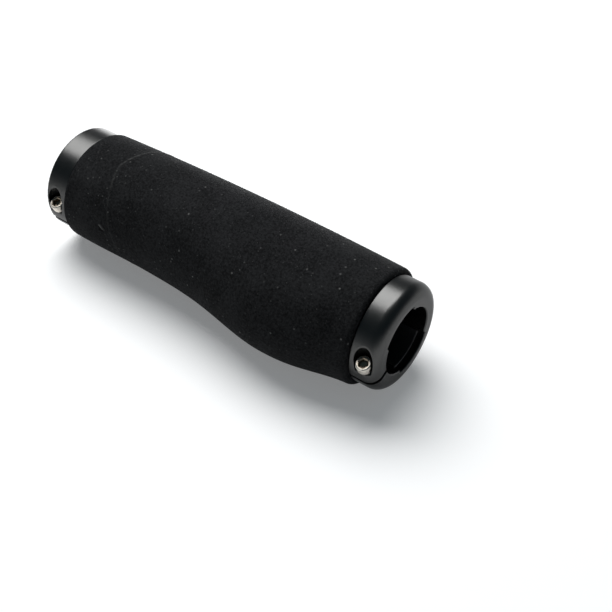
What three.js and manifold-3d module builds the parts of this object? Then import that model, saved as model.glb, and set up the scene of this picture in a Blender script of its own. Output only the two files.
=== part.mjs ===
// Screw-on bicycle handlebar grip: a foam sleeve with a palm swell on a plastic core tube,
// held on the bar by a split clamp ring and a hex socket bolt at each end.
// Millimetres, +Z up. X runs along the grip, with the outer (open) end at +X; Y points away
// from the side where the bolts are reached. Angles of the section start at +Y and turn
// towards +Z.

import * as THREE from 'three';
import { mergeVertices } from 'three/addons/utils/BufferGeometryUtils.js';
import Module from 'manifold-3d';

const wasm = await Module();
wasm.setup();

// Whole grip
const gripLength = 133.2;
const barDiameter = 22.2;
const seatGap = 0.3;

// Core tube
const coreBarClearance = 0.1;
const coreWall = 1.4;
const tabSetback = 2.3;
const tabAngle = 115.5;
const tabCount = 2;

// Foam sleeve, its plain barrel
const bellyRadius = 20.1;
const bellyFromOuterEnd = 46.5;
const bellyDrop = 1.5;
const innerCornerRadius = 0.9;
const outerCornerRadius = 1.5;
const foamGive = 0.45;

// Foam sleeve, the palm swell and the waist beside it, measured from the barrel
const swellAngle = -168;
const swellReach = 85;
const swellFromOuterEnd = 29.7;
const swellHeight = 4.5;
const swellRiseLateness = 1.45;
const swellFallLateness = 1.2;
const swellEndHeight = 0.4;
const waistFromInnerEnd = 32.7;
const waistDepth = 1;

// Clamp rings
const ringRadius = 17.8;
const ringBarClearance = 0.05;
const outerRingWidth = 9.1;
const innerRingWidth = 8.4;
const outerRingRounding = 4;
const innerRingRounding = 0.6;
const ringBackChamfer = 0.3;
const boreChamfer = 0.4;
const recessDepth = 1.3;
const recessSpan = 77;
const slitWidth = 1.6;

// Clamp bolts. Each crosses its slit at right angles; a clamp's angle is that of the point
// of the bolt's axis that is nearest to the bar's axis.
const outerClampAngle = -157.6;
const innerClampAngle = -155;
const outerBoltFromFace = 4.5;
const innerBoltFromFace = 3.7;
const boltFromOutside = 3;
const boltSeatFromSlit = 4.6;
const slitFromClampPlane = -0.6;
const boltHeadRadius = 2.5;
const boltHeadHeight = 3;
const boltHeadRounding = 0.25;
const boltShankRadius = 1.5;
const boltLength = 10;
const boltTipChamfer = 0.3;
const socketAcrossFlats = 2.5;
const socketDepth = 1.7;
const headClearance = 0.5;

// Fineness of the curved surfaces
const sleeveSides = 60;
const sleeveStations = 26;
const cornerSteps = 3;
const ringSides = 72;
const roundingSteps = 7;
const boltSides = 24;
const socketSides = 6;

const cutOverrun = 2;
const coreBoreRadius = barDiameter / 2 + coreBarClearance;
const coreRadius = coreBoreRadius + coreWall;
const ringBoreRadius = barDiameter / 2 + ringBarClearance;
const recessRadius = ringBoreRadius + recessDepth;
const counterboreRadius = boltHeadRadius + headClearance;
const boltFromAxis = ringRadius - boltFromOutside;
const boltSeat = boltSeatFromSlit - slitFromClampPlane;

// The sleeve fills the space between the two rings
const sleeveStart = innerRingWidth + seatGap;
const sleeveEnd = gripLength - outerRingWidth - seatGap;
const sleeveBoreRadius = coreRadius + seatGap;
const bellyAt = sleeveEnd - bellyFromOuterEnd;
const swellAt = sleeveEnd - swellFromOuterEnd;
const waistAt = sleeveStart + waistFromInnerEnd;

const foam = new THREE.MeshStandardMaterial({ color: 0x1c1d1f, roughness: 0.95, metalness: 0 });
const anodised = new THREE.MeshStandardMaterial({ color: 0x16191c, roughness: 0.35, metalness: 0.9 });
const steel = new THREE.MeshStandardMaterial({ color: 0xc4bcb0, roughness: 0.3, metalness: 1 });
const plastic = new THREE.MeshStandardMaterial({ color: 0x131416, roughness: 0.6, metalness: 0 });

// A closed three.js geometry as a solid that can be joined and cut
function solidOf(geometry) {
  const bare = geometry.clone();
  bare.deleteAttribute('normal');
  bare.deleteAttribute('uv');
  const merged = mergeVertices(bare);
  return new wasm.Manifold(
    new wasm.Mesh({
      numProp: 3,
      vertProperties: new Float32Array(merged.attributes.position.array),
      triVerts: new Uint32Array(merged.index.array),
    }),
  );
}

function geometryOf(solid) {
  const mesh = solid.getMesh();
  const geometry = new THREE.BufferGeometry();
  geometry.setAttribute('position', new THREE.BufferAttribute(mesh.vertProperties, 3));
  geometry.setIndex(new THREE.BufferAttribute(mesh.triVerts, 1));
  geometry.computeVertexNormals();
  return geometry;
}

// Turns an outline of [distance along X, radius] points about the X axis. The outline runs
// with the outside on its left when the distance grows along the outer wall.
function turned(outline, sides) {
  const points = outline.map(([along, radius]) => new THREE.Vector2(radius, along));
  return new THREE.LatheGeometry(points, sides).rotateZ(-Math.PI / 2);
}

// A solid round bar along X
function roundBar(radius, from, to, sides) {
  return turned([[from, 0], [from, radius], [to, radius], [to, 0]], sides);
}

// A slice of a round bar along X, centred on an angle of the section
function sector(radius, span, centreAngle, from, to) {
  const half = THREE.MathUtils.degToRad(span / 2);
  const shape = new THREE.Shape();
  shape.moveTo(0, 0);
  shape.lineTo(radius * Math.cos(half), -radius * Math.sin(half));
  shape.absarc(0, 0, radius, -half, half, false);
  shape.closePath();
  const slice = new THREE.ExtrudeGeometry(shape, {
    depth: to - from,
    bevelEnabled: false,
    curveSegments: Math.ceil((ringSides * span) / 360),
  });
  slice.rotateY(Math.PI / 2);
  slice.rotateX(Math.PI / 2 + THREE.MathUtils.degToRad(centreAngle));
  return slice.translate(from, 0, 0);
}

// Quarter-circle points from one outline point to the next, bulging outwards
function corner(alongCentre, radiusCentre, rounding, fromTurn, steps) {
  return Array.from({ length: steps + 1 }, (_, step) => {
    const turn = fromTurn - (step / steps) * (Math.PI / 2);
    return [alongCentre + rounding * Math.cos(turn), radiusCentre + rounding * Math.sin(turn)];
  });
}

function coreTube() {
  const tabRadius = recessRadius - seatGap;
  const sideClearance = THREE.MathUtils.radToDeg(seatGap / recessRadius);
  const tabSpan = recessSpan - 2 * sideClearance;
  let body = solidOf(roundBar(coreRadius, sleeveStart, sleeveEnd, ringSides));
  for (let tab = 0; tab < tabCount; tab += 1) {
    const angle = tabAngle + (tab * 360) / tabCount;
    const pair = sector(tabRadius, tabSpan, angle, tabSetback, gripLength - tabSetback);
    body = body.add(solidOf(pair));
  }
  const bore = roundBar(coreBoreRadius, -cutOverrun, gripLength + cutOverrun, ringSides);
  return geometryOf(body.subtract(solidOf(bore)));
}

// Eases from 0 to 1; a lateness above 1 delays the rise
function ease(share, lateness) {
  return (1 - Math.cos(Math.PI * share ** lateness)) / 2;
}

function barrelRadius(along) {
  const reach = (along - bellyAt) / (bellyAt - sleeveStart);
  return bellyRadius - bellyDrop * reach * reach;
}

// Height of the swell's crest over the barrel, negative at the waist
function crestHeight(along) {
  if (along < waistAt) {
    const share = (along - sleeveStart) / (waistAt - sleeveStart);
    return THREE.MathUtils.lerp(swellEndHeight, -waistDepth, ease(share, 1));
  }
  if (along < swellAt) {
    const share = (along - waistAt) / (swellAt - waistAt);
    return THREE.MathUtils.lerp(-waistDepth, swellHeight, ease(share, swellRiseLateness));
  }
  const share = (along - swellAt) / (sleeveEnd - swellAt);
  return THREE.MathUtils.lerp(swellHeight, swellEndHeight, ease(share, swellFallLateness));
}

// Share of the crest's height at an angle of the section
function crestShare(angle) {
  const away = THREE.MathUtils.euclideanModulo(angle - swellAngle + 180, 360) - 180;
  return Math.abs(away) < swellReach ? Math.cos(((away / swellReach) * Math.PI) / 2) ** 2 : 0;
}

function sleeveRadius(along, angle) {
  return barrelRadius(along) + crestHeight(along) * crestShare(angle);
}

// The sleeve's closed outline at one angle, from the bore round over the outside
function sleeveOutline(angle) {
  const firstStation = sleeveStart + innerCornerRadius;
  const lastStation = sleeveEnd - outerCornerRadius;
  const firstRadius = sleeveRadius(firstStation, angle) - innerCornerRadius;
  const lastRadius = sleeveRadius(lastStation, angle) - outerCornerRadius;
  const outline = [[sleeveEnd, sleeveBoreRadius], [sleeveStart, sleeveBoreRadius]];
  outline.push(...corner(firstStation, firstRadius, innerCornerRadius, Math.PI, cornerSteps));
  for (let station = 1; station < sleeveStations; station += 1) {
    const along = THREE.MathUtils.lerp(firstStation, lastStation, station / sleeveStations);
    outline.push([along, sleeveRadius(along, angle)]);
  }
  outline.push(...corner(lastStation, lastRadius, outerCornerRadius, Math.PI / 2, cornerSteps));
  return outline;
}

// Joins the outlines at all angles into one closed skin. The soft foam gives a little where the
// grip lies on it, which leaves a flat spot under the belly.
function foamSleeve() {
  const positions = [];
  for (let side = 0; side < sleeveSides; side += 1) {
    const angle = (side * 360) / sleeveSides;
    const direction = THREE.MathUtils.degToRad(angle);
    for (const [along, radius] of sleeveOutline(angle)) {
      positions.push(along, radius * Math.cos(direction), radius * Math.sin(direction));
    }
  }
  const pointCount = positions.length / 3 / sleeveSides;
  const index = [];
  for (let side = 0; side < sleeveSides; side += 1) {
    const here = side * pointCount;
    const there = ((side + 1) % sleeveSides) * pointCount;
    for (let point = 0; point < pointCount; point += 1) {
      const next = (point + 1) % pointCount;
      index.push(here + point, there + next, here + next);
      index.push(here + point, there + point, there + next);
    }
  }
  const geometry = new THREE.BufferGeometry();
  geometry.setAttribute('position', new THREE.Float32BufferAttribute(positions, 3));
  geometry.setIndex(index);
  const table = new THREE.BoxGeometry(2 * gripLength, 4 * bellyRadius, 2 * bellyRadius);
  table.translate(0, 0, foamGive - 2 * bellyRadius);
  return geometryOf(solidOf(geometry).subtract(solidOf(table)));
}

// A ring's closed outline from its back face at 0 to its rounded outer face at its width
function ringOutline(width, rounding) {
  return [
    [boreChamfer, ringBoreRadius],
    [0, ringBoreRadius + boreChamfer],
    [0, ringRadius - ringBackChamfer],
    [ringBackChamfer, ringRadius],
    ...corner(width - rounding, ringRadius - rounding, rounding, Math.PI / 2, roundingSteps),
    [width, ringBoreRadius + boreChamfer],
    [width - boreChamfer, ringBoreRadius],
    [boreChamfer, ringBoreRadius],
  ];
}

// A ring cut for its bolt, whose axis runs along Z at the place [along, boltFromAxis]
function clampRing(outline, recessAngle, boltAlong) {
  const end = gripLength;
  let ring = solidOf(turned(outline, ringSides));
  for (let recess = 0; recess < tabCount; recess += 1) {
    const angle = recessAngle + (recess * 360) / tabCount;
    ring = ring.subtract(solidOf(sector(recessRadius, recessSpan, angle, -end, end)));
  }
  const slit = new THREE.BoxGeometry(2 * end, ringRadius, slitWidth);
  slit.translate(0, ringBoreRadius - cutOverrun + ringRadius / 2, slitFromClampPlane);
  const holeRadius = boltShankRadius + seatGap;
  const hole = new THREE.CylinderGeometry(holeRadius, holeRadius, 2 * ringRadius, boltSides);
  hole.rotateX(Math.PI / 2).translate(boltAlong, boltFromAxis, 0);
  const counterbore = new THREE.CylinderGeometry(
    counterboreRadius,
    counterboreRadius,
    ringRadius,
    boltSides,
  );
  counterbore.rotateX(Math.PI / 2).translate(boltAlong, boltFromAxis, -boltSeat - ringRadius / 2);
  for (const cutter of [slit, hole, counterbore]) {
    ring = ring.subtract(solidOf(cutter));
  }
  return geometryOf(ring);
}

// A bolt along Y with its seat at 0 and its head above
function clampBolt() {
  const profile = [
    [0, -boltLength],
    [boltShankRadius - boltTipChamfer, -boltLength],
    [boltShankRadius, boltTipChamfer - boltLength],
    [boltShankRadius, 0],
    [boltHeadRadius, 0],
    [boltHeadRadius, boltHeadHeight - boltHeadRounding],
    [boltHeadRadius - boltHeadRounding, boltHeadHeight],
    [0, boltHeadHeight],
  ];
  const points = profile.map(([radius, height]) => new THREE.Vector2(radius, height));
  const socketRadius = socketAcrossFlats / 2 / Math.cos(Math.PI / socketSides);
  const socketCut = 2 * socketDepth;
  const socket = new THREE.CylinderGeometry(socketRadius, socketRadius, socketCut, socketSides);
  socket.translate(0, boltHeadHeight, 0);
  return geometryOf(solidOf(new THREE.LatheGeometry(points, boltSides)).subtract(solidOf(socket)));
}

// A ring with its bolt, turned to the clamp's angle
function clampUnit(place, outline, boltAlong, clampAngle) {
  const ring = new THREE.Mesh(clampRing(outline, tabAngle - clampAngle, boltAlong), anodised);
  ring.name = `${place}_clamp_ring`;
  const bolt = new THREE.Mesh(clampBolt(), steel);
  bolt.name = `${place}_clamp_bolt`;
  bolt.position.set(boltAlong, boltFromAxis, -boltSeat - seatGap);
  bolt.rotation.x = -Math.PI / 2;
  const unit = new THREE.Group();
  unit.add(ring, bolt);
  unit.rotation.x = THREE.MathUtils.degToRad(clampAngle);
  return unit;
}

const core = new THREE.Mesh(coreTube(), plastic);
core.name = 'core_tube';
const sleeve = new THREE.Mesh(foamSleeve(), foam);
sleeve.name = 'foam_sleeve';

// The inner ring is outlined like the outer one and then faces the other way
const outerOutline = ringOutline(outerRingWidth, outerRingRounding);
const innerOutline = ringOutline(innerRingWidth, innerRingRounding)
  .map(([along, radius]) => [innerRingWidth - along, radius])
  .reverse();
const outerBoltAlong = outerRingWidth - outerBoltFromFace;
const innerUnit = clampUnit('inner', innerOutline, innerBoltFromFace, innerClampAngle);
const outerUnit = clampUnit('outer', outerOutline, outerBoltAlong, outerClampAngle);
outerUnit.position.x = gripLength - outerRingWidth;

const grip = new THREE.Group();
grip.add(core, sleeve, innerUnit, outerUnit);

// The origin is the middle of the grip's box, on the surface that it lies on
grip.updateMatrixWorld(true);
const box = new THREE.Box3().setFromObject(grip, true);
const middle = box.getCenter(new THREE.Vector3());
grip.position.set(-middle.x, -middle.y, -box.min.z);

export default grip;
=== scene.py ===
"""Looks of a clamp-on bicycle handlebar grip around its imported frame: a foam sleeve with a palm
swell on a core tube, and at each end a split clamp ring with a hex socket bolt.

The shapes are made in the grip's own space, in millimetres: the bar's axis is the X axis, X is 0
at the inner end, and angles of the section start at +Y and turn towards +Z."""

import math
from collections import namedtuple

import bpy
import numpy as np
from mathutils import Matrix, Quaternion, Vector


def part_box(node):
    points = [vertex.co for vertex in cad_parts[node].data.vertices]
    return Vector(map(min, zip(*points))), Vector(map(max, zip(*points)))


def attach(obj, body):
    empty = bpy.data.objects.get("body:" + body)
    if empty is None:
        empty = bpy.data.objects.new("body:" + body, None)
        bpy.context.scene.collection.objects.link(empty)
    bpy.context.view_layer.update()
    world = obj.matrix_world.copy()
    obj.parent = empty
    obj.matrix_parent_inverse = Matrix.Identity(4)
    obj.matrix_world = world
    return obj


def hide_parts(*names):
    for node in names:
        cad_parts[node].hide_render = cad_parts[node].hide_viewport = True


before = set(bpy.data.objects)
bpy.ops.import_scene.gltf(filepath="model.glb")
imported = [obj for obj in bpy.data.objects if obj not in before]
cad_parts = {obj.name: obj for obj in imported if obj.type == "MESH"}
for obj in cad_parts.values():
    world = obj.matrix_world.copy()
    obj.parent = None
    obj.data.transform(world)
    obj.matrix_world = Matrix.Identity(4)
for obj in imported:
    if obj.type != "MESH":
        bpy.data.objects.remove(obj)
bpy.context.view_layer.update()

MM = 0.001
FULL_TURN = 360
HALF_TURN = 180

# Whole grip
GRIP_LENGTH = 133.2
SEAT_GAP = 0.3

# Core tube
CORE_BORE_RADIUS = 11.2
CORE_RADIUS = 12.6
TAB_RADIUS = 12.15
TAB_SPAN = 74.2
TAB_ANGLE = 115.5
TAB_SETBACK = 2.3
CORE_EDGE = 0.25
TAB_CORNER = 0.4

# Foam sleeve, its plain barrel
SLEEVE_START = 8.7
SLEEVE_END = 123.8
SLEEVE_BORE_RADIUS = 12.9
BELLY_RADIUS = 20.1
BELLY_AT = 77.3
BELLY_DROP = 1.5
INNER_CORNER_RADIUS = 0.9
OUTER_CORNER_RADIUS = 1.5

# Foam sleeve, the palm swell and the waist beside it
SWELL_ANGLE = -168
SWELL_REACH = 85
SWELL_AT = 94.1
SWELL_HEIGHT = 4.5
SWELL_RISE_LATENESS = 1.45
SWELL_FALL_LATENESS = 1.2
SWELL_END_HEIGHT = 0.4
WAIST_AT = 41.4
WAIST_DEPTH = 1

# Small forms in the foam: more pale specks near the inner end, the thin line left by the mould,
# and a nick
SCUFFED_FROM = 4.8
SCUFFED_TO = 48
MOULD_LINE_AT = 24.24
MOULD_LINE_ANGLE = 105
MOULD_LINE_SLANT = 0.09
MOULD_LINE_ROUNDING = 0.4
MOULD_LINE_HEIGHT = 0.12
MOULD_LINE_WIDTH = 0.36
# Painted paler along the mould line: partly a rubbed line, partly a painted highlight of its ridge
MOULD_LINE_PALENESS = 0.3
MOULD_LINE_CLEAR_AT = 82
MOULD_LINE_CLEAR_REACH = 45
MOULD_LINE_CLEAR_POWER = 4
MOULD_LINE_FAINTNESS = 0.4
NICK_START = (25.4, 169.5)
NICK_END = (26.9, 172.2)
NICK_WIDTH = 0.42
NICK_HOLLOW_AT = 0.84
NICK_HEIGHT = 0.45
NICK_PALENESS = 1

# Clamp rings
RING_RADIUS = 17.8
RING_BORE_RADIUS = 11.15
RECESS_RADIUS = 12.45
RECESS_SPAN = 77
RECESS_CORNER = 0.6
BORE_ROUNDING = 0.45
BACK_EDGE = 0.3
SLIT_WIDTH = 1.6
SLIT_FROM_CLAMP_PLANE = -0.6
SLIT_DEPTH = 2
SLIT_EDGE = 0.12
COUNTERBORE_EDGE = 0.35
HOLE_EDGE = 0.12

# Clamp bolts: M3 with a 2.5 mm hex socket
BOLT_FROM_AXIS = 14.8
BOLT_SEAT = 5.2
BOLT_HEAD_RADIUS = 2.5
BOLT_HEAD_HEIGHT = 3
BOLT_HEAD_ROUNDING = 0.5
BOLT_LENGTH = 10
BOLT_TIP_CHAMFER = 0.4
BOLT_SEAT_CHAMFER = 0.2
BOLT_NECK = 1.2
COUNTERBORE_RADIUS = 3
CLEARANCE_RADIUS = 1.8
THREAD_RADIUS = 1.5
THREAD_ROOT_RADIUS = 1.2
THREAD_PITCH = 0.5
TAPPED_RADIUS = 1.56
SOCKET_ACROSS_FLATS = 2.5
SOCKET_DEPTH = 1.7
SOCKET_CHAMFER = 0.3
SOCKET_SIDES = 6
SOCKET_FLOOR_SHARE = 0.95
SOCKET_CONE_DEPTH = 0.5
SOCKET_CONE_TIP = 0.05
# Rows at the socket's end that get painted shade
SOCKET_ROWS = 5

Ring = namedtuple("Ring", "start width rounding faces_out clamp_angle bolt_at")
OUTER_RING = Ring(124.1, 9.1, 4, True, -157.6, 128.7)
INNER_RING = Ring(0, 8.4, 0.6, False, -155, 3.7)

# Fineness of the meshes
RING_SIDES = 512
RING_STEP = 0.205
CORE_SIDES = 240
CORE_STEP = 0.3
CORE_MIDDLE_ROWS = 30
CORE_END_MARGIN = 1
CORE_INNER_MARGIN = 0.5
CORE_OUTER_MARGIN = 0.6
SLEEVE_SIDES = 320
SLEEVE_STEP = 0.55
SLEEVE_FINE_STEP = 0.28
SLEEVE_FINE_MARGIN = 1
CORNER_STEPS = 8
BOLT_SIDES = 96
THREAD_STEPS = 8
SHARP_EDGE = 35

# How points are moved onto a surface that is given by its distance
SKIN_PROBE = 0.02
SKIN_ROUNDS = 5
SKIN_LEAST_SLOPE = 0.05
SKIN_MARGIN_STEPS = 3
TINY = 1e-9

# Looks of the foam: depths in metres, and scales as repeats in a metre
FOAM_ROUGHNESS = 0.95
FOAM_SHINE = 0.12
FOAM_DARK = (0.0022, 0.0024, 0.0027)
FOAM_LIGHT = (0.0162, 0.0166, 0.0176)
FOAM_PALE = (0.09, 0.09, 0.088)
FOAM_TONES_AT = (0.53, 0.77)
FOAM_GRAIN_SCALE = 1300
FOAM_GRAIN_DETAIL = 4
FOAM_GRAIN_ROUGHNESS = 0.8
FOAM_GRAIN_DEPTH = 0.00018
FOAM_GRAIN_STRENGTH = 0.8
FOAM_PATCH_SCALE = 90
FOAM_PATCH_SHARE = 0.3
# Noise that breaks up the pale wear and the painted highlight of the mould line
PALE_MARK_BREAK_SCALE = 900
PALE_MARK_BREAKS_AT = (0.38, 0.62)
PALE_MARK_SHARES = (0.35, 1.5)
SPECK_EDGES_AT = (0.08, 0.18)
SCUFF_BRIGHTNESS = (1, 0.05)

Specks = namedtuple("Specks", "scale rarest brightness")
LARGE_SPECKS = Specks(420, 0.6, 1)
SMALL_SPECKS = Specks(900, 0.45, 0.5)
SCUFF_SCALE = 480
SCUFF_RAREST = 0.1

# Looks of the rings
ANODISED_COLOUR = (0.069, 0.069, 0.068)
ANODISED_EDGE_TINT = (0.65, 0.65, 0.65)
ANODISED_ROUGHNESS = (0.27, 0.32)
LATHE_SCALE = 9000
LATHE_SHARE = 0.5
LATHE_DEPTH = 0.000004
LATHE_STRENGTH = 0.25
BLOTCH_SCALE = 400
BLOTCH_DETAIL = 3
BLOTCHES_AT = (0.4, 1)

# Looks of the bolts
STEEL_COLOURS = ((0.55, 0.5, 0.44), (0.72, 0.68, 0.61))
STEEL_COLOURS_AT = (0.3, 0.7)
# Painted shade: the dark colour painted into the bolt's socket
SOCKET_SHADE_COLOUR = (0.3, 0.25, 0.19)
STEEL_ROUGHNESS = (0.32, 0.42)
STEEL_ROUGHNESS_AT = (0.3, 0.75)
STEEL_WEAR_SCALE = 1500
STEEL_WEAR_DETAIL = 4
STEEL_WEAR_DEPTH = 0.00001
STEEL_WEAR_STRENGTH = 0.5

# Looks of the core tube
PLASTIC_COLOURS = ((0.004, 0.0042, 0.0045), (0.008, 0.0085, 0.009))
PLASTIC_ROUGHNESS = (0.42, 0.58)
PLASTIC_GRAIN_AT = (0.3, 0.7)
PLASTIC_GRAIN_SCALE = 1800
PLASTIC_GRAIN_DETAIL = 3
PLASTIC_GRAIN_DEPTH = 0.00002
PLASTIC_GRAIN_STRENGTH = 0.4

# Where the camera stands, in metres from the middle of the grip's axis
CAMERA_PLACE = (0.180967, -0.2065899, 0.24894)
CAMERA_FORWARD = (-0.41900, 0.56969, -0.70703)
CAMERA_LENS = 67.18
SENSOR_WIDTH = 36
CLIP_START = 0.01

# Studio, in metres and watts
LAMP_DIRECTION = (-0.41, 0.28, 0.87)
LAMP_DISTANCE = 1.2
LAMP_LENGTH = 1.3
LAMP_WIDTH = 0.96
LAMP_TURN = -16
LAMP_POWER = 21
CARD_ALONG_FROM_TO = (-0.14, 0.03)
CARD_BEHIND = 0.065
CARD_HEIGHT = 0.034
CARD_POWER = 0.05
FLOOR_SIZE = 12
FLOOR_GAP = 0.00002
FLOOR_DIM_FROM_TO = (0.8, 1.8)
FLOOR_LIFT_FROM_TO = (0.2, 0.65)
FLOOR_COLOUR = (0.84, 0.84, 0.84)
FLOOR_ROUGHNESS = 0.9
SKY_HEIGHTS = (0, 0.06, 0.2, 0.4)
SKY_COLOURS = (
    (0.6, 0.6, 0.6),
    (0.37, 0.39, 0.41),
    (0.15, 0.17, 0.185),
    (0.046, 0.07, 0.083),
)

core_low, core_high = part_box("core_tube")
axis_middle = (core_low + core_high) / 2
inner_end = np.array(axis_middle) - np.array([GRIP_LENGTH / 2 * MM, 0, 0])
table_depth = axis_middle.z / MM


# Meshes

def make_piece(name, points, faces, material, node, normals=None):
    """A mesh of the object that stands for a node of the frame"""
    mesh = bpy.data.meshes.new(name)
    placed = points * MM + inner_end
    mesh.from_pydata(placed.tolist(), [], faces)
    mesh.shade_smooth()
    if normals is None:
        mesh.set_sharp_from_angle(angle=math.radians(SHARP_EDGE))
    else:
        mesh.normals_split_custom_set_from_vertices(normals.tolist())
    mesh.materials.append(material)
    piece = bpy.data.objects.new(name, mesh)
    bpy.context.scene.collection.objects.link(piece)
    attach(piece, "root")
    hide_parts(node)
    return piece


def add_attribute(piece, name, values):
    """A number at each point of a piece, for its material"""
    attribute = piece.data.attributes.new(name, "FLOAT", "POINT")
    attribute.data.foreach_set("value", values)


def folded(angle, span):
    """Angle brought within half a span of zero"""
    return (angle + span / 2) % span - span / 2


def turned_about_x(points, angle):
    """Points turned about the X axis by an angle in degrees"""
    turn = math.radians(angle)
    x, y, z = points.T
    turned_y = y * math.cos(turn) - z * math.sin(turn)
    turned_z = y * math.sin(turn) + z * math.cos(turn)
    return np.stack([x, turned_y, turned_z], axis=1)


def rounded_both(first, second, rounding):
    """Distance to what two shapes share, with its edge rounded off"""
    corner = np.hypot(np.maximum(first + rounding, 0), np.maximum(second + rounding, 0))
    return np.minimum(np.maximum(first, second), -rounding) + corner


def nearest_on_skin(distance, points, limit):
    """Points moved onto the surface, and the outward direction there"""
    for _ in range(SKIN_ROUNDS):
        away = distance(*points.T)
        slope = slope_at(distance, points, SKIN_PROBE)
        steepness = np.maximum((slope**2).sum(axis=1), SKIN_LEAST_SLOPE)
        step = slope * (away / steepness)[:, None]
        length = np.maximum(np.linalg.norm(step, axis=1), TINY)
        points = points - step * np.minimum(1, limit / length)[:, None]
    slope = slope_at(distance, points, 2 * SKIN_PROBE)
    steepness = np.maximum(np.linalg.norm(slope, axis=1), TINY)
    return points, slope / steepness[:, None]


def slope_at(distance, points, probe):
    """How the distance grows along X, Y and Z"""
    slopes = []
    for offset in np.eye(3) * probe:
        ahead = distance(*(points + offset).T)
        behind = distance(*(points - offset).T)
        slopes.append((ahead - behind) / (2 * probe))
    return np.stack(slopes, axis=1)


def skin_of(distance, alongs, radii, sides):
    """Quad mesh of the surface at distance zero, on a grid wrapped round the X axis"""
    turns = np.linspace(0, 2 * math.pi, sides + 1)
    x, r, t = np.meshgrid(alongs, radii, turns, indexing="ij")
    field = distance(x, r * np.cos(t), r * np.sin(t))
    field[:, :, -1] = field[:, :, 0]
    inside = field < 0
    corner_cut = [slice(None, -1), slice(1, None)]
    corners = np.stack(
        [inside[a, b, c] for a in corner_cut for b in corner_cut for c in corner_cut]
    )
    crossed = corners.any(axis=0) & ~corners.all(axis=0)
    i, j, k = np.nonzero(crossed)
    cell_number = np.full(crossed.shape, -1)
    cell_number[i, j, k] = np.arange(len(i))
    share = middle_of_crossings(field, i, j, k)
    along = alongs[i] + share[:, 0] * (alongs[i + 1] - alongs[i])
    radius = radii[j] + share[:, 1] * (radii[j + 1] - radii[j])
    turn = (k + share[:, 2]) * (turns[1] - turns[0])
    points = np.stack([along, radius * np.cos(turn), radius * np.sin(turn)], axis=1)
    faces = faces_between_cells(inside[:, :, :-1], cell_number)
    points, normals = nearest_on_skin(distance, points, radii[1] - radii[0])
    return points, faces, normals


def middle_of_crossings(field, i, j, k):
    """Mean place, as shares of the cell, of the points where its edges cross the surface"""
    values = {
        (a, b, c): field[i + a, j + b, k + c] for a in (0, 1) for b in (0, 1) for c in (0, 1)
    }
    total = np.zeros((len(i), 3))
    count = np.zeros(len(i))
    for axis in range(3):
        for near in [corner for corner in values if corner[axis] == 0]:
            far = tuple(1 if n == axis else near[n] for n in range(3))
            crosses = (values[near] < 0) != (values[far] < 0)
            gap = np.where(crosses, values[near] - values[far], 1)
            place = np.tile(np.array(near, float), (len(i), 1))
            place[:, axis] = values[near] / gap
            total[crosses] += place[crosses]
            count += crosses
    return total / count[:, None]


def faces_between_cells(inside, cell_number):
    """Quads that join the four cells round each grid edge that crosses the surface. Only the
    last axis, the turn, goes on from its last layer to its first."""
    faces = []
    turn_axis = 2
    for axis in range(3):
        later = np.roll(inside, -1, axis=axis)
        if axis != turn_axis:
            last_layer = (slice(None),) * axis + (-1,)
            later[last_layer] = inside[last_layer]
        leaves = inside & ~later
        enters = later & ~inside
        second = (axis + 1) % 3
        third = (axis + 2) % 3
        for crossing, order in ((leaves, (0, 1, 2, 3)), (enters, (3, 2, 1, 0))):
            edge = np.stack(np.nonzero(crossing), axis=1)
            ring = []
            for back_second, back_third in ((1, 1), (0, 1), (0, 0), (1, 0)):
                cell = edge.copy()
                cell[:, second] -= back_second
                cell[:, third] -= back_third
                cell[:, turn_axis] %= inside.shape[turn_axis]
                ring.append(cell_number[tuple(cell.T)])
            faces.extend(np.stack([ring[n] for n in order], axis=1).tolist())
    return faces


def rows_to_faces(row_count, sides, joined):
    """Quads between closed rows of points, and from the last row to the first if joined"""
    faces = []
    for row in range(row_count if joined else row_count - 1):
        here = row * sides
        there = (row + 1) % row_count * sides
        for side in range(sides):
            after = (side + 1) % sides
            faces.append((here + side, here + after, there + after, there + side))
    return faces


# Foam sleeve

def ease(share, lateness):
    """Eases from 0 to 1; a lateness above 1 delays the rise"""
    return (1 - np.cos(np.pi * np.clip(share, 0, 1) ** lateness)) / 2


def barrel_radius(along):
    """Radius of the plain sleeve, largest at its belly"""
    reach = (along - BELLY_AT) / (BELLY_AT - SLEEVE_START)
    return BELLY_RADIUS - BELLY_DROP * reach**2


def crest_height(along):
    """Height of the swell's crest over the barrel, negative at the waist"""
    sink = ease((along - SLEEVE_START) / (WAIST_AT - SLEEVE_START), 1)
    rise = ease((along - WAIST_AT) / (SWELL_AT - WAIST_AT), SWELL_RISE_LATENESS)
    fall = ease((along - SWELL_AT) / (SLEEVE_END - SWELL_AT), SWELL_FALL_LATENESS)
    before_waist = SWELL_END_HEIGHT - (SWELL_END_HEIGHT + WAIST_DEPTH) * sink
    before_swell = (SWELL_HEIGHT + WAIST_DEPTH) * rise - WAIST_DEPTH
    after_swell = SWELL_HEIGHT - (SWELL_HEIGHT - SWELL_END_HEIGHT) * fall
    after_waist = np.where(along < SWELL_AT, before_swell, after_swell)
    return np.where(along < WAIST_AT, before_waist, after_waist)


def crest_share(angle):
    """Share of the crest's height at an angle of the section"""
    away = folded(angle - SWELL_ANGLE, FULL_TURN)
    return np.where(np.abs(away) < SWELL_REACH, np.cos(away / SWELL_REACH * np.pi / 2) ** 2, 0)


def sleeve_radius(along, angle):
    """Radius of the sleeve with its palm swell and waist"""
    return barrel_radius(along) + crest_height(along) * crest_share(angle)


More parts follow.
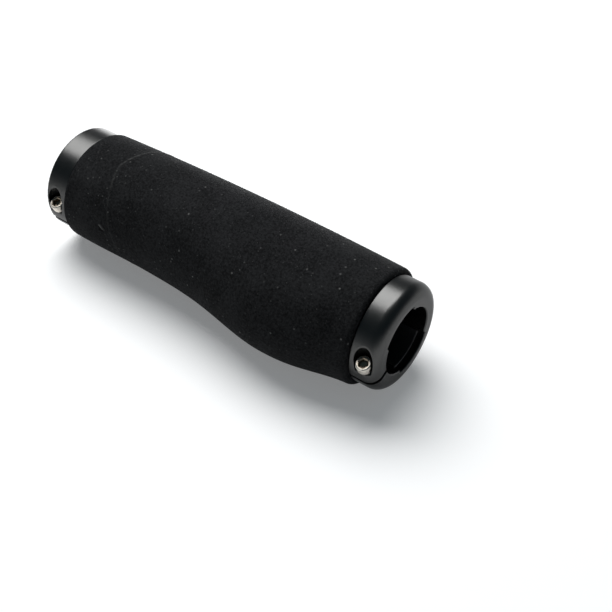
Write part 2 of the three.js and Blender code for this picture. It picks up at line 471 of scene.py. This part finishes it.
def mould_line(along, angle):
    """Thin raised line that slants round the sleeve from its tip near the top"""
    away = np.abs(folded(angle - MOULD_LINE_ANGLE, FULL_TURN))
    slanted = np.hypot(MOULD_LINE_SLANT * away, MOULD_LINE_ROUNDING) - MOULD_LINE_ROUNDING
    off = (along - MOULD_LINE_AT - slanted) / MOULD_LINE_WIDTH
    from_clear = np.abs(folded(angle - MOULD_LINE_CLEAR_AT, FULL_TURN))
    clear = np.exp(-((from_clear / MOULD_LINE_CLEAR_REACH) ** MOULD_LINE_CLEAR_POWER))
    strength = MOULD_LINE_FAINTNESS + (1 - MOULD_LINE_FAINTNESS) * clear
    return strength * np.exp(-(off**2))


def nick(along, angle):
    """Small torn edge: 1 on its raised lip, -1 in the hollow beside it"""
    per_degree = math.radians(1) * BELLY_RADIUS
    start = np.array([NICK_START[0], NICK_START[1] * per_degree])
    end = np.array([NICK_END[0], NICK_END[1] * per_degree])
    length = np.linalg.norm(end - start)
    lead = (end - start) / length
    from_start = along - start[0]
    round_start = (angle % FULL_TURN) * per_degree - start[1]
    forward = lead[0] * from_start + lead[1] * round_start
    sideways = lead[0] * round_start - lead[1] * from_start
    past_end = np.maximum(np.maximum(-forward, forward - length), 0)
    fade = np.exp(-((past_end / NICK_WIDTH) ** 2))
    lip = np.exp(-((sideways / NICK_WIDTH) ** 2))
    hollow = np.exp(-(((sideways - NICK_HOLLOW_AT) / NICK_WIDTH) ** 2))
    return fade * (lip - hollow)


def sleeve_rows():
    """Places along the sleeve's outside between its two corners, closer round the mould line"""
    first = SLEEVE_START + INNER_CORNER_RADIUS
    last = SLEEVE_END - OUTER_CORNER_RADIUS
    fine_from = MOULD_LINE_AT - SLEEVE_FINE_MARGIN
    fine_to = MOULD_LINE_AT + MOULD_LINE_SLANT * HALF_TURN + SLEEVE_FINE_MARGIN
    before = np.arange(first, fine_from, SLEEVE_STEP)
    fine = np.arange(fine_from, fine_to, SLEEVE_FINE_STEP)
    after = np.linspace(fine_to, last, round((last - fine_to) / SLEEVE_STEP))
    return np.concatenate([before, fine, after])


def sleeve_outline(angle):
    """Closed outline at one angle: bore, inner end, outside and outer end"""
    rows = sleeve_rows()
    quarter = np.linspace(0, math.pi / 2, CORNER_STEPS + 1)[:-1]
    line = MOULD_LINE_HEIGHT * mould_line(rows, angle)
    outside = sleeve_radius(rows, angle) + line + NICK_HEIGHT * nick(rows, angle)
    inner_corner_x = rows[0] - INNER_CORNER_RADIUS * np.cos(quarter)
    inner_corner_r = outside[0] - INNER_CORNER_RADIUS * (1 - np.sin(quarter))
    outer_corner_x = rows[-1] + OUTER_CORNER_RADIUS * np.cos(quarter[::-1])
    outer_corner_r = outside[-1] - OUTER_CORNER_RADIUS * (1 - np.sin(quarter[::-1]))
    wall = [SLEEVE_END, SLEEVE_START]
    bore = [SLEEVE_BORE_RADIUS, SLEEVE_BORE_RADIUS]
    x = np.concatenate([wall, inner_corner_x, rows, outer_corner_x])
    r = np.concatenate([bore, inner_corner_r, outside, outer_corner_r])
    return x, r


def make_sleeve(material):
    """The sleeve, flat underneath where the soft foam lies on the table"""
    rows = []
    pale_wear_and_highlight = []
    for side in range(SLEEVE_SIDES):
        angle = side * FULL_TURN / SLEEVE_SIDES
        x, r = sleeve_outline(angle)
        # The mould line's paleness is partly wear and partly a painted highlight of its ridge
        line_wear_and_highlight = MOULD_LINE_PALENESS * mould_line(x, angle)
        pale_wear_and_highlight.append(line_wear_and_highlight + NICK_PALENESS * np.maximum(nick(x, angle), 0))
        y = r * math.cos(math.radians(angle))
        z = r * math.sin(math.radians(angle))
        rows.append(np.stack([x, y, np.maximum(z, -table_depth)], axis=1))
    points = np.concatenate(rows)
    faces = [face[::-1] for face in rows_to_faces(SLEEVE_SIDES, len(rows[0]), True)]
    sleeve = make_piece("foam_skin", points, faces, material, "foam_sleeve")
    add_attribute(sleeve, "pale_wear_and_highlight", np.concatenate(pale_wear_and_highlight))


# Core tube and clamp rings

def beside_recess(y, z, centre_angle, span):
    """Distance to the two opposite wedges of that span, negative inside them"""
    radius = np.hypot(y, z)
    angle = np.degrees(np.arctan2(z, y))
    away = np.abs(folded(angle - centre_angle, HALF_TURN))
    return radius * np.sin(np.radians(away - span / 2))


def core_distance(x, y, z):
    """Signed distance to the core tube"""
    radius = np.hypot(y, z)
    from_tube_middle = np.abs(x - (SLEEVE_START + SLEEVE_END) / 2)
    tube_end = from_tube_middle - (SLEEVE_END - SLEEVE_START) / 2
    tube = rounded_both(radius - CORE_RADIUS, tube_end, CORE_EDGE)
    tab_end = np.abs(x - GRIP_LENGTH / 2) - (GRIP_LENGTH / 2 - TAB_SETBACK)
    tab_side = beside_recess(y, z, TAB_ANGLE, TAB_SPAN)
    tab = rounded_both(rounded_both(tab_side, tab_end, TAB_CORNER), radius - TAB_RADIUS, CORE_EDGE)
    return rounded_both(np.minimum(tube, tab), CORE_BORE_RADIUS - radius, CORE_EDGE)


def make_core(material):
    """The core tube, whose tabs reach into both rings"""
    near_from = TAB_SETBACK - CORE_INNER_MARGIN
    near = np.arange(near_from, SLEEVE_START + CORE_END_MARGIN, CORE_STEP)
    far = GRIP_LENGTH - near[::-1]
    middle = np.linspace(near[-1], far[0], CORE_MIDDLE_ROWS)[1:-1]
    inner_radius = CORE_BORE_RADIUS - CORE_INNER_MARGIN
    radii = np.arange(inner_radius, CORE_RADIUS + CORE_OUTER_MARGIN, CORE_STEP)
    alongs = np.concatenate([near, middle, far])
    points, faces, normals = skin_of(core_distance, alongs, radii, CORE_SIDES)
    make_piece("core_skin", points, faces, material, "core_tube", normals)


def ring_distance(ring, x, y, z):
    """Signed distance to a clamp ring"""
    radius = np.hypot(y, z)
    end = ring.start + ring.width
    front, back = (x - end, ring.start - x) if ring.faces_out else (ring.start - x, x - end)
    body = rounded_both(radius - RING_RADIUS, front, ring.rounding)
    body = rounded_both(body, back, BACK_EDGE)
    recess_side = beside_recess(y, z, TAB_ANGLE, RECESS_SPAN)
    recess = rounded_both(radius - RECESS_RADIUS, recess_side, RECESS_CORNER)
    hollow = rounded_both(RING_BORE_RADIUS - radius, -recess, RECESS_CORNER)
    body = rounded_both(body, hollow, BORE_ROUNDING)
    turn = math.radians(ring.clamp_angle)
    outward = y * math.cos(turn) + z * math.sin(turn)
    across = z * math.cos(turn) - y * math.sin(turn)
    slit_side = np.abs(across - SLIT_FROM_CLAMP_PLANE) - SLIT_WIDTH / 2
    slit = np.maximum(slit_side, RING_BORE_RADIUS - SLIT_DEPTH - outward)
    from_bolt = np.hypot(x - ring.bolt_at, outward - BOLT_FROM_AXIS)
    hole_radius = np.where(across > SLIT_FROM_CLAMP_PLANE, TAPPED_RADIUS, CLEARANCE_RADIUS)
    hole = np.maximum(from_bolt - hole_radius, -outward)
    counterbore = np.maximum(from_bolt - COUNTERBORE_RADIUS, across + BOLT_SEAT)
    body = rounded_both(body, -slit, SLIT_EDGE)
    body = rounded_both(body, -hole, HOLE_EDGE)
    return rounded_both(body, -counterbore, COUNTERBORE_EDGE)


def make_ring(place, ring, material):
    """A clamp ring, split and drilled for its bolt"""
    margin = SKIN_MARGIN_STEPS * RING_STEP
    alongs = np.arange(ring.start - margin, ring.start + ring.width + margin, RING_STEP)
    radii = np.arange(RING_BORE_RADIUS - margin, RING_RADIUS + margin, RING_STEP)

    def distance(x, y, z):
        return ring_distance(ring, x, y, z)

    points, faces, normals = skin_of(distance, alongs, radii, RING_SIDES)
    node = f"{place}_clamp_ring"
    make_piece(f"{place}_ring_skin", points, faces, material, node, normals)


# Bolts

def hexagon_radius(across_flats, turns):
    """Distance from the middle to the side of a hexagon"""
    side_turn = 2 * math.pi / SOCKET_SIDES
    return across_flats / 2 / np.cos((turns % side_turn) - side_turn / 2)


def thread_rows(turns):
    """Rows of the screw thread, from the tip up to the neck"""
    start = BOLT_TIP_CHAMFER - BOLT_LENGTH
    heights = np.arange(start, -BOLT_NECK, THREAD_PITCH / THREAD_STEPS)
    rows = []
    for height in heights:
        place = (height / THREAD_PITCH - turns / (2 * math.pi)) % 1
        depth = 1 - np.abs(2 * place - 1)
        fade = min(1, (height - start) / THREAD_PITCH, (-BOLT_NECK - height) / THREAD_PITCH)
        radius = THREAD_RADIUS - (THREAD_RADIUS - THREAD_ROOT_RADIUS) * depth * max(fade, 0)
        rows.append((height, radius))
    return rows


def bolt_rows(turns):
    """Height over the seat and radius of each row, from the tip to the bottom of the socket"""
    round_row = np.ones_like(turns)
    rows = [(-BOLT_LENGTH, (THREAD_RADIUS - BOLT_TIP_CHAMFER) * round_row)]
    rows.extend(thread_rows(turns))
    rows.append((-BOLT_NECK, THREAD_RADIUS * round_row))
    rows.append((0, THREAD_RADIUS * round_row))
    rows.append((0, (BOLT_HEAD_RADIUS - BOLT_SEAT_CHAMFER) * round_row))
    rows.append((BOLT_SEAT_CHAMFER, BOLT_HEAD_RADIUS * round_row))
    rounding = BOLT_HEAD_ROUNDING
    for quarter in np.linspace(0, math.pi / 2, CORNER_STEPS + 1):
        height = BOLT_HEAD_HEIGHT - rounding * (1 - math.sin(quarter))
        radius = BOLT_HEAD_RADIUS - rounding * (1 - math.cos(quarter))
        rows.append((height, radius * round_row))
    hexagon = hexagon_radius(SOCKET_ACROSS_FLATS, turns)
    rows.append((BOLT_HEAD_HEIGHT, hexagon + SOCKET_CHAMFER))
    rows.append((BOLT_HEAD_HEIGHT - SOCKET_CHAMFER, hexagon))
    socket_floor = BOLT_HEAD_HEIGHT - SOCKET_DEPTH
    rows.append((socket_floor, hexagon))
    rows.append((socket_floor, hexagon.min() * SOCKET_FLOOR_SHARE * round_row))
    rows.append((socket_floor - SOCKET_CONE_DEPTH, SOCKET_CONE_TIP * round_row))
    return rows


def make_bolt(place, ring, material):
    """A clamp bolt on its seat, with its socket's rows marked for the shade painted in it"""
    turns = np.arange(BOLT_SIDES) * 2 * math.pi / BOLT_SIDES
    loops = []
    for height, radius in bolt_rows(turns):
        x = ring.bolt_at + radius * np.cos(turns)
        y = BOLT_FROM_AXIS + radius * np.sin(turns)
        z = np.full_like(turns, -BOLT_SEAT - SEAT_GAP - height)
        loops.append(np.stack([x, y, z], axis=1))
    faces = [face[::-1] for face in rows_to_faces(len(loops), BOLT_SIDES, False)]
    last = (len(loops) - 1) * BOLT_SIDES
    faces.append(tuple(range(BOLT_SIDES)))
    faces.append(tuple(last + side for side in reversed(range(BOLT_SIDES))))
    points = turned_about_x(np.concatenate(loops), ring.clamp_angle)
    node = f"{place}_clamp_bolt"
    bolt = make_piece(f"{place}_bolt_skin", points, faces, material, node)
    # The socket's rows are painted dark, as painted shade in the recess
    socket_shade = np.zeros((len(loops), BOLT_SIDES))
    socket_shade[-SOCKET_ROWS:] = 1
    add_attribute(bolt, "socket_shade", socket_shade.ravel())


# Materials

def new_material(name, **shader_values):
    """A material, its tree and its Principled shader, whose sockets take values by name"""
    material = bpy.data.materials.new(name)
    material.use_nodes = True
    tree = material.node_tree
    shader = tree.nodes["Principled BSDF"]
    for socket, value in shader_values.items():
        shader.inputs[socket.replace("_", " ")].default_value = value
    return material, tree, shader


def add_node(tree, kind, inputs=None, **settings):
    """A shader node whose inputs are values or other nodes' outputs"""
    made = tree.nodes.new(kind)
    for name, value in settings.items():
        setattr(made, name, value)
    for socket, value in (inputs or {}).items():
        if isinstance(value, bpy.types.NodeSocket):
            tree.links.new(value, made.inputs[socket])
        else:
            made.inputs[socket].default_value = value
    return made


def object_place(tree):
    """Place in metres on the object"""
    return add_node(tree, "ShaderNodeTexCoord").outputs["Object"]


def noise(tree, vector, scale, detail=2.0, roughness=0.5):
    """Soft grey noise about a half"""
    inputs = {"Vector": vector, "Scale": scale, "Detail": detail, "Roughness": roughness}
    return add_node(tree, "ShaderNodeTexNoise", inputs).outputs["Fac"]


def ramp(tree, factor, places, colours):
    """Colours, or greys as one number each, at places from 0 to 1, with straight blends between"""
    made = add_node(tree, "ShaderNodeValToRGB", {"Fac": factor})
    elements = made.color_ramp.elements
    while len(elements) < len(places):
        elements.new(places[-1])
    for element, place, colour in zip(elements, places, colours):
        element.position = place
        element.color = (*np.broadcast_to(colour, 3), 1)
    return made.outputs["Color"]


def math_node(tree, operation, first, second):
    """Result of one operation on two values"""
    return add_node(tree, "ShaderNodeMath", {0: first, 1: second}, operation=operation).outputs[0]


def distance_node(tree, first, second):
    """Distance between two places"""
    inputs = {0: first, 1: second}
    made = add_node(tree, "ShaderNodeVectorMath", inputs, operation="DISTANCE")
    return made.outputs["Value"]


def attribute_node(tree, name):
    """The number that the mesh holds under a name"""
    return add_node(tree, "ShaderNodeAttribute", attribute_name=name).outputs["Fac"]


def map_range(tree, value, source, target):
    """Moves a value in step from one range of numbers to another, and stops at its ends"""
    inputs = dict(zip(("From Min", "From Max", "To Min", "To Max"), (*source, *target)))
    return add_node(tree, "ShaderNodeMapRange", {"Value": value, **inputs}).outputs["Result"]


def blend_colours(tree, share, first, second):
    """One colour turning into a fixed second one as the share grows from 0 to 1"""
    made = add_node(tree, "ShaderNodeMixRGB", {"Fac": share, "Color1": first})
    made.inputs["Color2"].default_value = (*second, 1)
    return made.outputs["Color"]


def bump(tree, shader, height, distance, strength):
    """Fine relief, as deep as the distance where the height is 1"""
    inputs = {"Height": height, "Distance": distance, "Strength": strength}
    made = add_node(tree, "ShaderNodeBump", inputs)
    tree.links.new(made.outputs["Normal"], shader.inputs["Normal"])


def specks(tree, place, cell_scale, rarest):
    """Small soft dots in some of the cells, more of them where rarest is lower"""
    cells = add_node(tree, "ShaderNodeTexVoronoi", {"Vector": place, "Scale": cell_scale})
    chance = add_node(tree, "ShaderNodeSeparateColor", {"Color": cells.outputs["Color"]})
    spot = ramp(tree, cells.outputs["Distance"], SPECK_EDGES_AT, (1, 0))
    chosen = ramp(tree, chance.outputs["Red"], (rarest, 1), (0, 1))
    return math_node(tree, "MULTIPLY", spot, chosen)


def foam_material():
    """Matt dark foam with a fine grain, pale specks, a worn nick, and a mould line painted paler,
    partly as a painted highlight
    """
    material, tree, shader = new_material(
        "foam",
        Roughness=FOAM_ROUGHNESS,
        Specular_IOR_Level=FOAM_SHINE,
    )
    place = object_place(tree)
    grain = noise(tree, place, FOAM_GRAIN_SCALE, FOAM_GRAIN_DETAIL, FOAM_GRAIN_ROUGHNESS)
    patches = math_node(tree, "MULTIPLY", noise(tree, place, FOAM_PATCH_SCALE), FOAM_PATCH_SHARE)
    mixed = math_node(tree, "ADD", patches, grain)
    tone = ramp(tree, mixed, FOAM_TONES_AT, (FOAM_DARK, FOAM_LIGHT))
    broken_up = map_range(tree, noise(tree, place, PALE_MARK_BREAK_SCALE), PALE_MARK_BREAKS_AT, PALE_MARK_SHARES)
    # Pale wear on the nick's lip, and the mould line's paleness, which is partly a painted
    # highlight
    pale = math_node(tree, "MULTIPLY", attribute_node(tree, "pale_wear_and_highlight"), broken_up)
    along = add_node(tree, "ShaderNodeSeparateXYZ", {"Vector": place}).outputs["X"]
    scuffed_from_to = (inner_end[0] + SCUFFED_FROM * MM, inner_end[0] + SCUFFED_TO * MM)
    scuffed = map_range(tree, along, scuffed_from_to, SCUFF_BRIGHTNESS)
    scuff_specks = Specks(SCUFF_SCALE, SCUFF_RAREST, scuffed)
    for kind in (LARGE_SPECKS, SMALL_SPECKS, scuff_specks):
        dots = specks(tree, place, kind.scale, kind.rarest)
        pale = math_node(tree, "MAXIMUM", pale, math_node(tree, "MULTIPLY", dots, kind.brightness))
    lifted = blend_colours(tree, pale, tone, FOAM_PALE)
    tree.links.new(lifted, shader.inputs["Base Color"])
    bump(tree, shader, mixed, FOAM_GRAIN_DEPTH, FOAM_GRAIN_STRENGTH)
    return material


def turned_lines(tree, scale):
    """Fine lines round the bar's axis, as a lathe leaves them"""
    place = object_place(tree)
    along = add_node(tree, "ShaderNodeSeparateXYZ", {"Vector": place}).outputs["X"]
    on_axis_inputs = {"X": along, "Y": axis_middle.y, "Z": axis_middle.z}
    on_axis = add_node(tree, "ShaderNodeCombineXYZ", on_axis_inputs).outputs["Vector"]
    radius = distance_node(tree, place, on_axis)
    line_place = add_node(tree, "ShaderNodeCombineXYZ", {"X": along, "Y": radius})
    return noise(tree, line_place.outputs["Vector"], scale)


def anodised_material():
    """Satin black anodised aluminium with the faint lines of the lathe under it"""
    material, tree, shader = new_material(
        "anodised",
        Metallic=1,
        Base_Color=(*ANODISED_COLOUR, 1),
        Specular_Tint=(*ANODISED_EDGE_TINT, 1),
    )
    lines = turned_lines(tree, LATHE_SCALE)
    blotches = noise(tree, object_place(tree), BLOTCH_SCALE, BLOTCH_DETAIL)
    uneven = math_node(tree, "ADD", math_node(tree, "MULTIPLY", lines, LATHE_SHARE), blotches)
    rough = ramp(tree, uneven, BLOTCHES_AT, ANODISED_ROUGHNESS)
    tree.links.new(rough, shader.inputs["Roughness"])
    bump(tree, shader, lines, LATHE_DEPTH, LATHE_STRENGTH)
    return material


def steel_material():
    """Bright machined steel, with painted shade darkening the socket"""
    material, tree, shader = new_material("steel", Metallic=1)
    wear = noise(tree, object_place(tree), STEEL_WEAR_SCALE, STEEL_WEAR_DETAIL)
    bright = ramp(tree, wear, STEEL_COLOURS_AT, STEEL_COLOURS)
    # Painted shade: the socket rows blend to a dark colour
    colour = blend_colours(tree, attribute_node(tree, "socket_shade"), bright, SOCKET_SHADE_COLOUR)
    rough = ramp(tree, wear, STEEL_ROUGHNESS_AT, STEEL_ROUGHNESS)
    tree.links.new(colour, shader.inputs["Base Color"])
    tree.links.new(rough, shader.inputs["Roughness"])
    bump(tree, shader, wear, STEEL_WEAR_DEPTH, STEEL_WEAR_STRENGTH)
    return material


def plastic_material():
    """Black moulded plastic with a faint grain"""
    material, tree, shader = new_material("plastic")
    grain = noise(tree, object_place(tree), PLASTIC_GRAIN_SCALE, PLASTIC_GRAIN_DETAIL)
    colour = ramp(tree, grain, PLASTIC_GRAIN_AT, PLASTIC_COLOURS)
    rough = ramp(tree, grain, PLASTIC_GRAIN_AT, PLASTIC_ROUGHNESS)
    tree.links.new(colour, shader.inputs["Base Color"])
    tree.links.new(rough, shader.inputs["Roughness"])
    bump(tree, shader, grain, PLASTIC_GRAIN_DEPTH, PLASTIC_GRAIN_STRENGTH)
    return material


# Studio

def make_floor():
    """Pale floor that shows white where nothing shades it. It glows a little to the camera and
    in reflections, and more so further off, where the lamp lights it less."""
    half = FLOOR_SIZE / 2
    mesh = bpy.data.meshes.new("floor")
    corners = [(-half, -half), (half, -half), (half, half), (-half, half)]
    mesh.from_pydata([(x, y, -FLOOR_GAP) for x, y in corners], [], [(0, 1, 2, 3)])
    floor = bpy.data.objects.new("floor", mesh)
    bpy.context.scene.collection.objects.link(floor)
    material, tree, shader = new_material(
        "floor",
        Roughness=FLOOR_ROUGHNESS,
        Base_Color=(*FLOOR_COLOUR, 1),
        Specular_IOR_Level=0,
        Emission_Color=(1, 1, 1, 1),
    )
    ray = add_node(tree, "ShaderNodeLightPath")
    seen = ray.outputs["Is Camera Ray"]
    for kind in ("Is Glossy Ray", "Is Transmission Ray"):
        seen = math_node(tree, "MAXIMUM", seen, ray.outputs[kind])
    reach = distance_node(tree, object_place(tree), (0, 0, 0))
    needed = map_range(tree, reach, FLOOR_DIM_FROM_TO, FLOOR_LIFT_FROM_TO)
    lift = math_node(tree, "MULTIPLY", seen, needed)
    tree.links.new(lift, shader.inputs["Emission Strength"])
    mesh.materials.append(material)


def make_world():
    """Grey studio, pale at the horizon and darker overhead"""
    world = bpy.data.worlds.new("studio")
    bpy.context.scene.world = world
    world.use_nodes = True
    tree = world.node_tree
    direction = add_node(tree, "ShaderNodeTexCoord").outputs["Generated"]
    height = add_node(tree, "ShaderNodeSeparateXYZ", {"Vector": direction}).outputs["Z"]
    sky = ramp(tree, height, SKY_HEIGHTS, SKY_COLOURS)
    tree.links.new(sky, tree.nodes["Background"].inputs["Color"])


def area_lamp(name, shape, length, width, power):
    """Area lamp that the camera doesn't see"""
    lamp = bpy.data.lights.new(name, "AREA")
    lamp.shape = shape
    lamp.size = length
    lamp.size_y = width
    lamp.energy = power
    holder = bpy.data.objects.new(name, lamp)
    bpy.context.scene.collection.objects.link(holder)
    holder.visible_camera = False
    return holder


def make_lamp():
    """Oval soft box that faces the grip"""
    holder = area_lamp("soft_box", "ELLIPSE", LAMP_LENGTH, LAMP_WIDTH, LAMP_POWER)
    towards = Vector(LAMP_DIRECTION).normalized()
    holder.location = axis_middle + towards * LAMP_DISTANCE
    facing = towards.to_track_quat("Z", "Y") @ Quaternion((0, 0, 1), math.radians(LAMP_TURN))
    holder.rotation_euler = facing.to_euler()


def make_card():
    """Low bright card close behind the grip, which only shows in reflections"""
    first, last = CARD_ALONG_FROM_TO
    holder = area_lamp("card", "RECTANGLE", last - first, CARD_HEIGHT, CARD_POWER)
    holder.location = ((first + last) / 2, axis_middle.y + CARD_BEHIND, CARD_HEIGHT / 2)
    holder.rotation_euler = (-math.pi / 2, 0, 0)
    holder.visible_diffuse = False


def make_camera():
    """Camera that sees the grip from the photo's side"""
    lens = bpy.data.cameras.new("camera")
    lens.lens = CAMERA_LENS
    lens.sensor_width = SENSOR_WIDTH
    lens.clip_start = CLIP_START
    camera = bpy.data.objects.new("camera", lens)
    bpy.context.scene.collection.objects.link(camera)
    camera.location = axis_middle + Vector(CAMERA_PLACE)
    camera.rotation_euler = Vector(CAMERA_FORWARD).to_track_quat("-Z", "Y").to_euler()
    bpy.context.scene.camera = camera


anodised = anodised_material()
steel = steel_material()
make_sleeve(foam_material())
make_core(plastic_material())
for place, ring in (("outer", OUTER_RING), ("inner", INNER_RING)):
    make_ring(place, ring, anodised)
    make_bolt(place, ring, steel)
make_floor()
make_world()
make_lamp()
make_card()
make_camera()
bpy.context.scene.view_settings.view_transform = "Standard"
